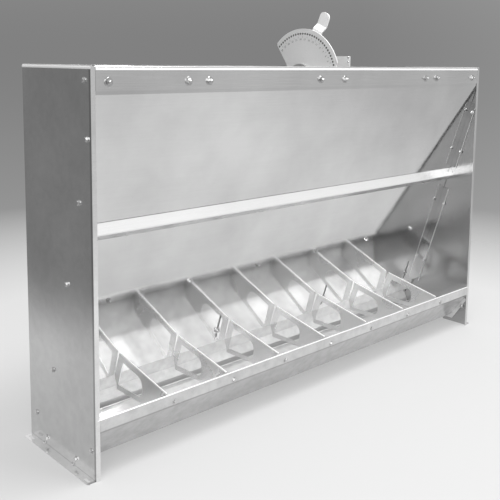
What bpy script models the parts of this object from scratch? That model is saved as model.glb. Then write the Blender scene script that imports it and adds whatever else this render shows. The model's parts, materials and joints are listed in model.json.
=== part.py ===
"""Single-sided stainless steel hopper feeder with an adjustable feed gate.

Metres, +Z up. The origin is on the floor at the middle of the footprint, the
trough faces -Y, and depths are measured back from the front face of the end
panels. The hopper is open at the top. A lever on a rock shaft lifts the gate
behind the sloping front sheet through two arms, yokes and lift rods.
"""
import math

import bmesh
import bpy
from mathutils import Matrix, Vector

# Driving dimensions
LENGTH = 1.524
HEIGHT = 0.9144
DEPTH = 0.3048
PANEL_T = 0.002
SHEET_T = 0.0016
BRACKET_T = 0.003
GAP = 0.0003
BEND_R = 0.003
ARC_STEPS = 4
HALF = LENGTH / 2
INNER = HALF - PANEL_T
HEAD_H = 0.004
MIDDLE = (DEPTH - HEAD_H - GAP) / 2
FIT = INNER - 0.0008

# End panels
RETURN_W = 0.011
FOOT_W = 0.022
FOOT_DEPTH = 0.297

# Header and sloping front sheet
HEADER_BOTTOM = 0.861
HEADER_HEM = 0.009
LAP_TOP = 0.903
SHEET_SLOPE = 0.31
SHEET_BOTTOM = 0.120
SHEET_SECANT = math.hypot(1.0, SHEET_SLOPE)
END_FLANGES = (
    (0.1225, 0.4840, (0.2085, 0.1172), (0.0957, 0.4818)),
    (0.5650, 0.7958, (0.0722, 0.5590), (0.0027, 0.7877)),
)
TAB_Y = PANEL_T + GAP + SHEET_T + GAP + BRACKET_T / 2
TAB_LOW, TAB_HIGH = 0.866, 0.894
HEADER_BOLT_Z = 0.880
CORNER_BOLT_X = 0.719
BRACE_BOLT_XS = (0.443, 0.505)
GAUGE_BOLT_X = 0.050

# Trough and dividers
LIP_TOP = 0.1413
BAND_BOTTOM = 0.114
HEM_DEPTH = 0.011
FLOOR_Z = 0.0255
FLOOR_FRONT, FLOOR_REAR = 0.065, 0.2543
REAR_RUN = 0.4578
UPSTAND_Y = 0.3018
UPSTAND_TOP = 0.160
END_FLANGE = 0.013
DIVIDERS = 7
DIVIDER_PITCH = 0.1883
DIVIDER_BOLT_DX = 0.020
DIVIDER_BOLT_Z = 0.121
DIVIDER_FRONT = 0.0053

# Feed gate, measured along and behind the front sheet
GATE_BACK = (SHEET_T + 0.0005 + SHEET_T / 2) * SHEET_SECANT
GATE_LOW, GATE_HIGH = 0.0813, 0.300
GATE_HALF = 0.7535
GATE_BOLT_XS = (-0.684, -0.228, 0.228, 0.684)
GATE_BOLT_Z = 0.160
SLOT_LOW, SLOT_HIGH = 0.133, 0.208
SLOT_R = 0.0038

# Rock shaft, arms and lever, turning about +X
SHAFT_Y, SHAFT_Z = 0.155, 0.878
SHAFT_R = 0.010
SHAFT_HALF = 0.5265
ARM_R = 0.0304
ARM_DROP = math.radians(8.5)
PIN_R = 0.004
YOKE_X = 0.532
YOKE_RISE = 0.0005
BRACE_X = 0.474
BRACE_HALF = 0.043
WEB_Z = 0.858
LEVER_TILT = math.radians(22.0)
LEVER_W = 0.036
LEVER_REACH = 0.202

# Gauge sector
SECTOR_X = 0.038
SECTOR_R = 0.1446
SECTOR_BACK = math.radians(43.8)
SECTOR_FRONT = math.radians(70.6)
INDEX_R = 0.130
INDEX_HOLES = 29
INDEX_PITCH = math.radians(4.125)
CHEEK_X = 0.0695
SPACER_SPOTS = ((0.045, 0.873), (0.105, 0.8685))

BOLT_R = 0.003
HOLE_R = BOLT_R + GAP

# Local (x, y, z) axes of an outline or profile, as world columns
SIDE = Matrix(((0, 0, 1, 0), (1, 0, 0, 0), (0, 1, 0, 0), (0, 0, 0, 1)))
PLAN = Matrix.Identity(4)
FRONT = Matrix(((1, 0, 0, 0), (0, 0, -1, 0), (0, 1, 0, 0), (0, 0, 0, 1)))

FINISHES = {
    "sheet": ((0.62, 0.625, 0.63), 0.22),
    "plate": ((0.55, 0.555, 0.56), 0.30),
    "fastener": ((0.72, 0.72, 0.72), 0.18),
    "shaft": ((0.50, 0.505, 0.51), 0.25),
}


def clear_scene():
    for item in list(bpy.data.objects):
        bpy.data.objects.remove(item, do_unlink=True)


def collection(name):
    group = bpy.data.collections.new(name)
    bpy.context.scene.collection.children.link(group)
    return group


def depth(distance):
    """World Y of a point this far behind the end panels' front face."""
    return distance - MIDDLE


def point(x, distance, z):
    return Vector((x, depth(distance), z))


def sheet_y(z):
    """Depth of the sloping sheet's front surface at a height."""
    return SHEET_SLOPE * (HEADER_BOTTOM - z)


# ---------------------------------------------------------------- shapes

def finish(item, kind):
    """Give a part its own material."""
    color, roughness = FINISHES[kind]
    material = bpy.data.materials.new(item.name + "_" + kind)
    material.use_nodes = True
    shader = material.node_tree.nodes["Principled BSDF"]
    shader.inputs["Base Color"].default_value = (*color, 1.0)
    shader.inputs["Metallic"].default_value = 1.0
    shader.inputs["Roughness"].default_value = roughness
    item.data.materials.clear()
    item.data.materials.append(material)


def part(item, name, kind):
    """Name a finished object and file it with the parts."""
    item.name = name
    item.data.name = name
    PARTS.objects.link(item)
    finish(item, kind)
    return item


def helper(item):
    """File a cutter or an addition that only shapes other parts."""
    CUTTERS.objects.link(item)
    item.hide_render = True
    item.display_type = "WIRE"
    return item


def bare(mesh, matrix=None):
    item = bpy.data.objects.new("shape", mesh)
    if matrix is not None:
        mesh.transform(matrix)
    return item


def from_bmesh(shape):
    mesh = bpy.data.meshes.new("shape")
    shape.to_mesh(mesh)
    shape.free()
    return bare(mesh)


def box(low, high):
    """Closed box between two world corners."""
    low, high = Vector(low), Vector(high)
    shape = bmesh.new()
    bmesh.ops.create_cube(shape, size=1.0)
    bmesh.ops.scale(shape, vec=high - low, verts=shape.verts)
    bmesh.ops.translate(shape, vec=(low + high) / 2, verts=shape.verts)
    return from_bmesh(shape)


def add_rod(shape, start, end, radius, sides):
    """Add a closed cylinder between two points to a bmesh."""
    start, end = Vector(start), Vector(end)
    turn = (end - start).to_track_quat("Z", "Y").to_matrix().to_4x4()
    matrix = Matrix.Translation((start + end) / 2) @ turn
    bmesh.ops.create_cone(
        shape, cap_ends=True, segments=sides, radius1=radius, radius2=radius,
        depth=(end - start).length, matrix=matrix)


def rods(list_of_rods, sides=16):
    """One object holding closed cylinders, each (start, end, radius)."""
    shape = bmesh.new()
    for start, end, radius in list_of_rods:
        add_rod(shape, start, end, radius, sides)
    return from_bmesh(shape)


def round_corners(points, closed):
    """Replace each (a, b, radius) corner by an arc of a few points."""
    result = []
    count = len(points)
    for index, (a, b, radius) in enumerate(points):
        corner = Vector((a, b))
        is_end = not closed and index in (0, count - 1)
        if is_end or radius == 0:
            result.append(corner)
            continue
        before = Vector(points[index - 1][:2]) - corner
        after = Vector(points[(index + 1) % count][:2]) - corner
        before.normalize()
        after.normalize()
        half = before.angle(after) / 2
        centre = corner + (before + after).normalized() * radius / math.sin(half)
        first = corner + before * radius / math.tan(half) - centre
        last = corner + after * radius / math.tan(half) - centre
        sweep = first.angle_signed(last)
        for step in range(ARC_STEPS + 1):
            turn = Matrix.Rotation(-sweep * step / ARC_STEPS, 2)
            result.append(centre + turn @ first)
    return result


def arc(centre, radius, start, end, steps):
    """Points on an arc, angles from +Y (second axis) towards -X (first)."""
    points = []
    for step in range(steps + 1):
        angle = start + (end - start) * step / steps
        points.append((centre[0] - radius * math.sin(angle), centre[1] + radius * math.cos(angle), 0))
    return points


def circle(centre, radius, sides=12):
    return arc(centre, radius, 0.0, 2 * math.pi * (sides - 1) / sides, sides - 1)


def curve_mesh(loops, closed, half_depth, filled, matrix):
    """Mesh of extruded 2D loops, welded where the caps meet the sides."""
    data = bpy.data.curves.new("outline", "CURVE")
    data.dimensions = "2D"
    data.fill_mode = "BOTH" if filled else "NONE"
    data.extrude = half_depth
    for loop in loops:
        points = round_corners(loop, closed)
        spline = data.splines.new("POLY")
        spline.points.add(len(points) - 1)
        spline.use_cyclic_u = closed
        for target, (a, b) in zip(spline.points, points):
            target.co = (a, b, 0.0, 1.0)
    item = bpy.data.objects.new("outline", data)
    bpy.context.scene.collection.objects.link(item)
    graph = bpy.context.evaluated_depsgraph_get()
    mesh = bpy.data.meshes.new_from_object(item.evaluated_get(graph))
    bpy.data.objects.remove(item)
    shape = bmesh.new()
    shape.from_mesh(mesh)
    bmesh.ops.remove_doubles(shape, verts=shape.verts, dist=1e-6)
    if filled:
        bmesh.ops.recalc_face_normals(shape, faces=shape.faces)
    shape.to_mesh(mesh)
    shape.free()
    return bare(mesh, matrix)


def plate(loops, thickness, plane, offset):
    """Flat plate from an outline and its holes, centred at an offset from the plane."""
    matrix = plane @ Matrix.Translation((0.0, 0.0, offset))
    return curve_mesh(loops, True, thickness / 2, True, matrix)


def folded(profile, thickness, span, plane, centre=0.0):
    """Bent sheet: a profile of its middle surface, drawn out over a span."""
    matrix = plane @ Matrix.Translation((0.0, 0.0, centre))
    item = curve_mesh([profile], False, span / 2, False, matrix)
    shell = item.modifiers.new("sheet", "SOLIDIFY")
    shell.thickness = thickness
    shell.offset = 0.0
    shell.use_even_offset = True
    return item


def combine(item, other, operation):
    step = item.modifiers.new(operation.lower(), "BOOLEAN")
    step.operation = operation
    step.solver = "EXACT"
    step.object = helper(other)
    return item


def cut(item, other):
    return combine(item, other, "DIFFERENCE")


def join(item, other):
    return combine(item, other, "UNION")


def yz(*pairs):
    """Profile or outline corners (depth, z, bend radius) in the side plane."""
    return [(depth(pair[0]), pair[1], pair[2] if len(pair) > 2 else 0.0) for pair in pairs]


# ---------------------------------------------------------------- fasteners

def bolt_mesh(grip, shank_r, head_r, head_h, nut_h):
    """Bolt along -Z: head above z = 0, shank through the grip, nut below it."""
    low = -grip - 2 * GAP
    head = rods([((0, 0, GAP), (0, 0, GAP + head_h), head_r)], sides=6)
    nut = rods([((0, 0, low - nut_h), (0, 0, low), head_r)], sides=6)
    shank = rods([((0, 0, low - nut_h / 2), (0, 0, GAP + head_h / 2), shank_r)], sides=12)
    join(head, shank)
    join(head, nut)
    helper(head)
    graph = bpy.context.evaluated_depsgraph_get()
    mesh = bpy.data.meshes.new_from_object(head.evaluated_get(graph))
    bpy.data.objects.remove(head)
    return mesh


def place_bolt(name, mesh, position, outward):
    """Place a bolt with its head facing outward from a surface point."""
    item = bpy.data.objects.new(name, mesh.copy())
    item.location = position
    item.rotation_euler = Vector(outward).to_track_quat("Z", "Y").to_euler()
    return part(item, name, "fastener")


# ---------------------------------------------------------------- hopper

def end_panel(name, side):
    """End panel with front, rear and top returns and an outward foot flange."""
    outline = yz((0, 0), (UPSTAND_Y + PANEL_T / 2, 0), (UPSTAND_Y + PANEL_T / 2, HEIGHT), (0, HEIGHT))
    item = plate([outline], PANEL_T, SIDE, side * (HALF - PANEL_T / 2))
    inner = side * (HALF - RETURN_W)
    outer = side * (HALF - PANEL_T / 4)
    rear = UPSTAND_Y + PANEL_T / 2
    returns = (
        (point(min(inner, outer), 0, 0), point(max(inner, outer), PANEL_T, HEIGHT)),
        (point(min(inner, outer), rear - PANEL_T, UPSTAND_TOP + 0.005), point(max(inner, outer), rear, HEIGHT)),
        (point(min(inner, outer), 0, HEIGHT - PANEL_T), point(max(inner, outer), rear, HEIGHT)),
    )
    for low, high in returns:
        join(item, box(low, high))
    foot_x = HALF + FOOT_W
    root_x = HALF - PANEL_T / 2
    outline = [
        (side * root_x, depth(0), 0), (side * foot_x, depth(0), 0.012),
        (side * foot_x, depth(FOOT_DEPTH), 0.004), (side * root_x, depth(FOOT_DEPTH), 0)]
    join(item, plate([outline], PANEL_T, PLAN, PANEL_T / 2))
    slot_r = 0.0035
    mid_x = HALF + FOOT_W * 0.55
    for distance in (0.020, 0.278):
        shape = slot_cutter(
            (side * mid_x, depth(distance - 0.007)), (side * mid_x, depth(distance + 0.007)), slot_r)
        cut(item, shape)
    for distance in (0.101, 0.234):
        notch = (point(side * HALF - 0.0045, distance - 0.004, -0.001),
                 point(side * HALF + 0.0045, distance + 0.004, 0.006))
        cut(item, box(*notch))
    return part(item, name, "sheet")


def slot_cutter(start, end, radius):
    """Upright cutter for a round-ended slot through a foot flange."""
    run = Vector(end) - Vector(start)
    across = Vector((-run.y, run.x)).normalized() * radius
    reach = run.normalized() * radius
    a, b = Vector(start) - reach, Vector(end) + reach
    corners = [(*(a - across), radius * 0.999), (*(b - across), radius * 0.999),
               (*(b + across), radius * 0.999), (*(a + across), radius * 0.999)]
    return plate([corners], 0.02, PLAN, 0.0)


def back_panel():
    """Upright back sheet with a forward top return clear of the end panels."""
    mid = DEPTH - SHEET_T / 2
    top = HEIGHT - SHEET_T / 2
    profile = yz((mid - 0.010, top), (mid, top, BEND_R), (mid, 0.125))
    item = folded(profile, SHEET_T, 2 * (HALF - 0.0008), SIDE)
    for side in (-1, 1):
        low_x, high_x = sorted((side * (HALF - RETURN_W - 0.0006), side * (HALF + 0.01)))
        cut(item, box(point(low_x, mid - 0.02, HEIGHT - 0.02), point(high_x, DEPTH - SHEET_T - 0.0001, HEIGHT + 0.01)))
    return part(item, "back_panel", "sheet")


def header_rail():
    """Front top strip with a hemmed top, held between the end panel returns."""
    mid = PANEL_T / 2
    top = HEIGHT - PANEL_T / 2
    profile = yz((mid, HEADER_BOTTOM), (mid, top, 0.002), (HEADER_HEM, top, 0.002), (HEADER_HEM, 0.906))
    item = folded(profile, PANEL_T, 2 * (HALF - RETURN_W - 0.0005), SIDE)
    cut(item, header_holes())
    return part(item, "header_rail", "sheet")


def header_bolt_xs():
    spots = [GAUGE_BOLT_X, *BRACE_BOLT_XS, CORNER_BOLT_X]
    return sorted([-x for x in spots] + spots)


def header_holes():
    return rods([(point(x, -0.01, HEADER_BOLT_Z), point(x, 0.02, HEADER_BOLT_Z), HOLE_R)
                 for x in header_bolt_xs()], sides=12)


def front_sheet():
    """Sloping front sheet: top lap, gate slots and forward end flanges."""
    lap = PANEL_T + GAP + SHEET_T / 2
    knee = HEADER_BOTTOM - (PANEL_T + GAP) / SHEET_SLOPE
    mid = SHEET_T / 2 * SHEET_SECANT
    profile = yz((lap, LAP_TOP), (lap, knee, 0.006), (sheet_y(SHEET_BOTTOM) + mid, SHEET_BOTTOM))
    item = folded(profile, SHEET_T, 2 * FIT, SIDE)
    root = 0.0006
    for low, high, front_low, front_high in END_FLANGES:
        corners = [(sheet_y(low) + root, low), front_low, front_high, (sheet_y(high) + root, high)]
        for side in (-1, 1):
            join(item, plate([yz(*corners)], SHEET_T, SIDE, side * (FIT - SHEET_T / 2 - 0.0002)))
    cut(item, header_holes())
    cut(item, gate_slots())
    return part(item, "front_sheet", "sheet")


def gate_slots():
    """Round-ended slots through the sloping sheet for the gate bolts."""
    shape = bmesh.new()
    along = Vector((0, -SHEET_SLOPE, 1)) / SHEET_SECANT
    normal = Vector((0, -1, -SHEET_SLOPE)) / SHEET_SECANT
    low, high = SLOT_LOW + SLOT_R, SLOT_HIGH - SLOT_R
    turn = Matrix((Vector((1, 0, 0)), along, Vector((1, 0, 0)).cross(along))).transposed().to_4x4()
    for x in GATE_BOLT_XS:
        ends = [point(x, sheet_y(z), z) for z in (low, high)]
        first = set(shape.verts)
        profile = slot_profile((ends[1] - ends[0]).length / 2, SLOT_R)
        ring = [shape.verts.new((a, b, -0.01)) for a, b in profile]
        face = shape.faces.new(ring)
        top = bmesh.ops.extrude_face_region(shape, geom=[face])
        lifted = [item for item in top["geom"] if isinstance(item, bmesh.types.BMVert)]
        bmesh.ops.translate(shape, vec=(0, 0, 0.02), verts=lifted)
        new = [item for item in shape.verts if item not in first]
        bmesh.ops.transform(shape, matrix=Matrix.Translation((ends[0] + ends[1]) / 2) @ turn, verts=new)
    bmesh.ops.recalc_face_normals(shape, faces=shape.faces)
    return from_bmesh(shape)


def slot_profile(half_run, radius):
    """Round-ended slot outline along local Y."""
    points = []
    for sign in (1, -1):
        for step in range(7):
            angle = math.pi * step / 6
            points.append((sign * radius * math.cos(angle), sign * (half_run + radius * math.sin(angle))))
    return points


def front_rail():
    """Angle stiffener across the sloping sheet, welded along both edges."""
    top, nose, low = 0.558, (0.0790, 0.5325), 0.516
    off = (GAP + SHEET_T / 2) * 1.3
    profile = yz((sheet_y(top) - off, top), (*nose, 0.002), (sheet_y(low) - off, low))
    item = folded(profile, SHEET_T, 2 * FIT, SIDE)
    return part(item, "front_rail", "sheet")


def sheet_stiffener():
    """Flat bar bolted across the back of the sloping sheet."""
    back = (SHEET_T + GAP + BRACKET_T / 2) * SHEET_SECANT
    profile = yz(*((sheet_y(z) + back, z) for z in (0.334, 0.359)))
    item = folded(profile, BRACKET_T, 2 * 0.735, SIDE)
    return part(item, "sheet_stiffener", "sheet")


def trough_profile():
    """Middle surface of the trough, from the hem round to the rear upstand."""
    front = PANEL_T / 2
    inner = front + PANEL_T + 0.0010
    top = LIP_TOP - PANEL_T / 2
    rise = (UPSTAND_Y - FLOOR_REAR) / REAR_RUN
    return yz(
        (inner, LIP_TOP - HEM_DEPTH), (inner, top, 0.0013), (front, top, 0.0013), (front, BAND_BOTTOM, 0.004),
        (FLOOR_FRONT, FLOOR_Z, 0.010), (FLOOR_REAR, FLOOR_Z, 0.004),
        (UPSTAND_Y, FLOOR_Z + rise, 0.004), (UPSTAND_Y, UPSTAND_TOP))


def trough_pan():
    """Feeding trough: hemmed lip, front slope, floor and rear slope."""
    item = folded(trough_profile(), PANEL_T, 2 * FIT, SIDE)
    rear_z = 0.100
    rear_y = FLOOR_REAR + (rear_z - FLOOR_Z) * REAR_RUN
    flange = yz(
        (0.013, 0.0985), (FLOOR_FRONT, FLOOR_Z), (FLOOR_REAR, FLOOR_Z), (rear_y, rear_z),
        (rear_y + 0.012, rear_z - 0.006), (FLOOR_REAR + 0.008, FLOOR_Z - END_FLANGE),
        (FLOOR_FRONT - 0.007, FLOOR_Z - END_FLANGE), (0.004, 0.092))
    for side in (-1, 1):
        join(item, plate([flange], SHEET_T, SIDE, side * (FIT - SHEET_T / 2 - 0.0002)))
        low_x, high_x = sorted((side * (HALF - RETURN_W - 0.0005), side * (HALF + 0.01)))
        cut(item, box(point(low_x, -0.01, BAND_BOTTOM - 0.005), point(high_x, 0.0062, LIP_TOP + 0.01)))
    cut(item, rods([(point(x + DIVIDER_BOLT_DX, -0.01, DIVIDER_BOLT_Z),
                     point(x + DIVIDER_BOLT_DX, 0.004, DIVIDER_BOLT_Z), HOLE_R) for x in divider_xs()], sides=12))
    return part(item, "trough_pan", "sheet")


def divider_xs():
    return [(index - (DIVIDERS - 1) / 2) * DIVIDER_PITCH for index in range(DIVIDERS)]


def divider(name, x):
    """Head divider with a window and a front flange bolted behind the lip."""
    clear = 0.0006
    front = DIVIDER_FRONT
    foot_z = 0.084
    outline = yz(
        (front, 0.1435), (0.2055 - clear, 0.1852, 0.003), (sheet_y(SHEET_BOTTOM) - clear, SHEET_BOTTOM - 0.001),
        (0.219, 0.094, 0.003), (0.221, foot_z, 0.004), (0.0285, foot_z, 0.006), (front, 0.1125, 0.003))
    window = yz((0.190, 0.1635, 0.003), (0.104, 0.1465, 0.026), (0.106, 0.0975, 0.016), (0.2125, 0.0975, 0.003))
    item = plate([outline, window], SHEET_T, SIDE, x)
    join(item, box(point(x, front, 0.1135), point(x + 0.032, front + SHEET_T, 0.1285)))
    cut(item, rods([(point(x + DIVIDER_BOLT_DX, -0.01, DIVIDER_BOLT_Z),
                     point(x + DIVIDER_BOLT_DX, 0.02, DIVIDER_BOLT_Z), HOLE_R)], sides=12))
    return part(item, name, "sheet")


# ---------------------------------------------------------------- brackets

def corner_bracket(name, side):
    """Angle that ties the header to an end panel."""
    corner = FIT - BRACKET_T / 2
    near, far = depth(TAB_Y), depth(0.045)
    profile = [(side * 0.700, near, 0), (side * corner, near, 0.004), (side * corner, far, 0)]
    height = TAB_HIGH - TAB_LOW
    item = folded(profile, BRACKET_T, height, PLAN, (TAB_HIGH + TAB_LOW) / 2)
    cut(item, header_holes())
    return part(item, name, "plate")


def cross_brace(name, x):
    """Strap across the hopper mouth that carries a shaft bearing."""
    rear = DEPTH - SHEET_T - 0.0005 - BRACKET_T / 2
    profile = yz((TAB_Y, TAB_HIGH), (TAB_Y, WEB_Z, 0.0025), (rear, WEB_Z, 0.0025), (rear, TAB_HIGH))
    item = folded(profile, BRACKET_T, 2 * BRACE_HALF, SIDE, x)
    cut(item, header_holes())
    return part(item, name, "plate")


def shaft_bore(start_x, end_x, radius):
    return rods([(point(start_x, SHAFT_Y, SHAFT_Z), point(end_x, SHAFT_Y, SHAFT_Z), radius)], sides=32)


def shaft_bearing(name, x):
    """Pillow block on a cross brace."""
    base = WEB_Z + BRACKET_T / 2 + GAP
    half = 0.012
    outline = yz(
        (SHAFT_Y - 0.030, base), (SHAFT_Y + 0.030, base), (SHAFT_Y + 0.030, base + 0.006, 0.002),
        (SHAFT_Y + 0.018, base + 0.010, 0.003), (SHAFT_Y + 0.016, SHAFT_Z + 0.016, 0.012),
        (SHAFT_Y - 0.016, SHAFT_Z + 0.016, 0.012), (SHAFT_Y - 0.018, base + 0.010, 0.003),
        (SHAFT_Y - 0.030, base + 0.006, 0.002))
    item = plate([outline], 2 * half, SIDE, x)
    cut(item, shaft_bore(x - 0.03, x + 0.03, SHAFT_R + GAP))
    return part(item, name, "plate")


def gauge_bracket():
    """Bracket behind the header with a web and a cheek that carries the sector."""
    profile = yz((TAB_Y, TAB_HIGH), (TAB_Y, WEB_Z, 0.0025), (0.205, WEB_Z))
    left, right = -0.070, CHEEK_X + BRACKET_T / 2
    item = folded(profile, BRACKET_T, right - left, SIDE, (left + right) / 2)
    hook = 0.0112
    outline = yz(
        (TAB_Y - BRACKET_T / 2, WEB_Z - BRACKET_T / 2), (0.205, WEB_Z - BRACKET_T / 2), (0.205, 0.905, 0.012),
        (0.075, 0.944, 0.015), (0.0, 0.944, 0.003), (0.0, HEIGHT + 0.0006), (hook, HEIGHT + 0.0006),
        (hook, TAB_HIGH), (TAB_Y - BRACKET_T / 2, TAB_HIGH))
    join(item, plate([outline], BRACKET_T, SIDE, CHEEK_X))
    cut(item, header_holes())
    cut(item, shaft_bore(CHEEK_X - 0.01, CHEEK_X + 0.01, SHAFT_R + 0.002))
    cut(item, spacer_bores())
    return part(item, "gauge_bracket", "plate")


def gauge_sector():
    """Index plate: a sector with a ring of holes for the lever's tooth."""
    centre = (depth(SHAFT_Y), SHAFT_Z)
    outline = arc(centre, SECTOR_R, SECTOR_FRONT, -SECTOR_BACK, 40)
    outline += yz((0.2551, 0.9748), (0.1742, 0.8610, 0.004), (0.0221, 0.8610, 0.004), (0.0221, 0.9193))
    loops = [outline, circle(centre, SHAFT_R + 0.002, 20)]
    for index in range(INDEX_HOLES):
        angle = LEVER_TILT + (index - 16) * INDEX_PITCH
        spot = (centre[0] - INDEX_R * math.sin(angle), centre[1] + INDEX_R * math.cos(angle))
        loops.append(circle(spot, 0.0031, 10))
    item = plate(loops, BRACKET_T, SIDE, SECTOR_X)
    cut(item, spacer_bores())
    return part(item, "gauge_sector", "sheet")


def spacer_bores():
    return rods([(point(0.0, a, b), point(0.08, a, b), HOLE_R) for a, b in SPACER_SPOTS], sides=12)


def sector_spacer(name, distance, z):
    """Sleeve between the sector and the cheek, with a stud and a nut at each end."""
    start = SECTOR_X - BRACKET_T / 2 - GAP
    end = CHEEK_X + BRACKET_T / 2 + GAP
    sleeve = BRACKET_T + 2 * GAP
    item = rods([(point(start + sleeve, distance, z), point(end - sleeve, distance, z), 0.006)], sides=16)
    join(item, rods([(point(start - 0.002, distance, z), point(end + 0.002, distance, z), BOLT_R)], sides=12))
    nuts = ((start - 0.004, start), (end, end + 0.004))
    for low, high in nuts:
        join(item, rods([(point(low, distance, z), point(high, distance, z), 0.0055)], sides=6))
    return part(item, name, "fastener")


def pivot_bearing():
    """Round bearing flange beside the sector, flat where it meets the web."""
    centre = (depth(SHAFT_Y), SHAFT_Z)
    radius = 0.0435
    flat = WEB_Z + BRACKET_T / 2 + GAP
    reach = math.acos((flat - SHAFT_Z) / radius)
    outline = arc(centre, radius, reach, -reach, 36)
    face = SECTOR_X - BRACKET_T / 2 - GAP
    item = plate([outline, circle(centre, SHAFT_R + GAP, 32)], 0.008, SIDE, face - 0.004)
    return part(item, "pivot_bearing", "plate")


# ---------------------------------------------------------------- lever and shaft

def rock_shaft():
    item = shaft_bore(-SHAFT_HALF, SHAFT_HALF, SHAFT_R)
    return part(item, "rock_shaft", "shaft")


def arm_pin_spot():
    """Depth and height of the arm pins at rest."""
    return (SHAFT_Y - ARM_R * math.cos(ARM_DROP), SHAFT_Z - ARM_R * math.sin(ARM_DROP))


def lift_arm(name, side):
    """Short arm on a shaft end that carries a yoke pin."""
    pin = arm_pin_spot()
    eye = circle((depth(pin[0]), pin[1]), 0.0095, 20)
    hub = circle((depth(SHAFT_Y), SHAFT_Z), 0.0165, 28)
    middle = side * (SHAFT_HALF - BRACKET_T)
    item = plate([hub], 2 * BRACKET_T, SIDE, middle)
    join(item, plate([eye], 2 * BRACKET_T, SIDE, middle))
    along = Vector((pin[0] - SHAFT_Y, pin[1] - SHAFT_Z)).normalized()
    across = Vector((-along.y, along.x))
    start, end = Vector((SHAFT_Y, SHAFT_Z)), Vector(pin)
    corners = [start + across * 0.0155, end + across * 0.0088, end - across * 0.0088, start - across * 0.0155]
    join(item, plate([yz(*(tuple(spot) for spot in corners))], 2 * BRACKET_T, SIDE, middle))
    cut(item, shaft_bore(middle - 0.02, middle + 0.02, SHAFT_R + GAP))
    cut(item, rods([(point(middle - 0.02, *pin), point(middle + 0.02, *pin), PIN_R + GAP)], sides=16))
    return part(item, name, "plate")


def yoke_pin(name, side):
    """Pin through an arm and a yoke slot, with a head and a retaining collar."""
    pin = arm_pin_spot()
    inside = SHAFT_HALF - 2 * BRACKET_T - GAP
    outside = YOKE_X + 0.002 + 0.0006
    stem = rods([(point(side * (inside - 0.002), *pin), point(side * (outside + 0.002), *pin), PIN_R)], sides=16)
    join(stem, rods([(point(side * (inside - 0.003), *pin), point(side * inside, *pin), 0.0068)], sides=16))
    join(stem, rods([(point(side * outside, *pin), point(side * (outside + 0.003), *pin), 0.0080)], sides=16))
    return part(stem, name, "fastener")


def adjusting_lever():
    """Strip lever with a joggle, rounded tip and a hub on the rock shaft."""
    near, far = SECTOR_X + 0.0045, SECTOR_X + 0.0165
    profile = [(0, near, 0), (0.150, near, 0.004), (0.164, far, 0.004), (LEVER_REACH, far, 0)]
    radial = Vector((0, -math.sin(LEVER_TILT), math.cos(LEVER_TILT)))
    out = Vector((1, 0, 0))
    frame = Matrix((radial, out, radial.cross(out))).transposed().to_4x4()
    frame.translation = point(0, SHAFT_Y, SHAFT_Z)
    item = folded(profile, 0.004, LEVER_W, frame)
    half = LEVER_W / 2
    tip = [(-0.03, -half * 0.995, 0), (LEVER_REACH, -half * 0.995, 0.013),
           (LEVER_REACH, half * 0.995, 0.013), (-0.03, half * 0.995, 0)]
    turned = frame @ Matrix(((1, 0, 0, 0), (0, 0, 1, 0), (0, -1, 0, 0), (0, 0, 0, 1)))
    combine(item, plate([tip], 0.10, turned, near), "INTERSECT")
    join(item, shaft_bore(SECTOR_X + 0.0028, SECTOR_X + 0.023, 0.0175))
    tooth = frame @ Vector((INDEX_R, 0, 0))
    back = Vector((SECTOR_X + 0.0045, tooth.y, tooth.z))
    join(item, rods([(Vector((SECTOR_X + 0.0019, tooth.y, tooth.z)), back, 0.0024)], sides=10))
    cut(item, shaft_bore(SECTOR_X - 0.02, SECTOR_X + 0.04, SHAFT_R + GAP))
    return part(item, "adjusting_lever", "sheet")


# ---------------------------------------------------------------- gate and lift rods

def gate_line(z, behind=0.0):
    """Depth of the gate's middle surface at a height, or further behind it."""
    return sheet_y(z) + GATE_BACK + behind * SHEET_SECANT


def feed_gate():
    """Sliding gate behind the front sheet, hemmed along its lower edge."""
    up = Vector((-SHEET_SLOPE, 1.0)) / SHEET_SECANT
    back = Vector((1.0, SHEET_SLOPE)) / SHEET_SECANT
    foot = Vector((gate_line(GATE_LOW), GATE_LOW))
    fold = foot + back * 0.0025
    end = fold + up * 0.010
    profile = yz((*end, 0), (*fold, 0.0011), (*foot, 0.0011), (gate_line(GATE_HIGH), GATE_HIGH, 0))
    item = folded(profile, SHEET_T, 2 * GATE_HALF, SIDE)
    normal = slope_normal()
    holes = []
    spots = [point(x, sheet_y(GATE_BOLT_Z), GATE_BOLT_Z) for x in GATE_BOLT_XS]
    spots += [point(x, gate_line(ROD_BOLT_Z), ROD_BOLT_Z) for x in (-YOKE_X, YOKE_X)]
    for spot in spots:
        holes.append((spot - normal * 0.01, spot + normal * 0.01, HOLE_R))
    cut(item, rods(holes, sides=12))
    return part(item, "feed_gate", "sheet")


def slope_normal():
    """Direction out of the sloping sheet's front face."""
    return Vector((0, -1, -SHEET_SLOPE)) / SHEET_SECANT


ROD_BOLT_Z = 0.262


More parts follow.
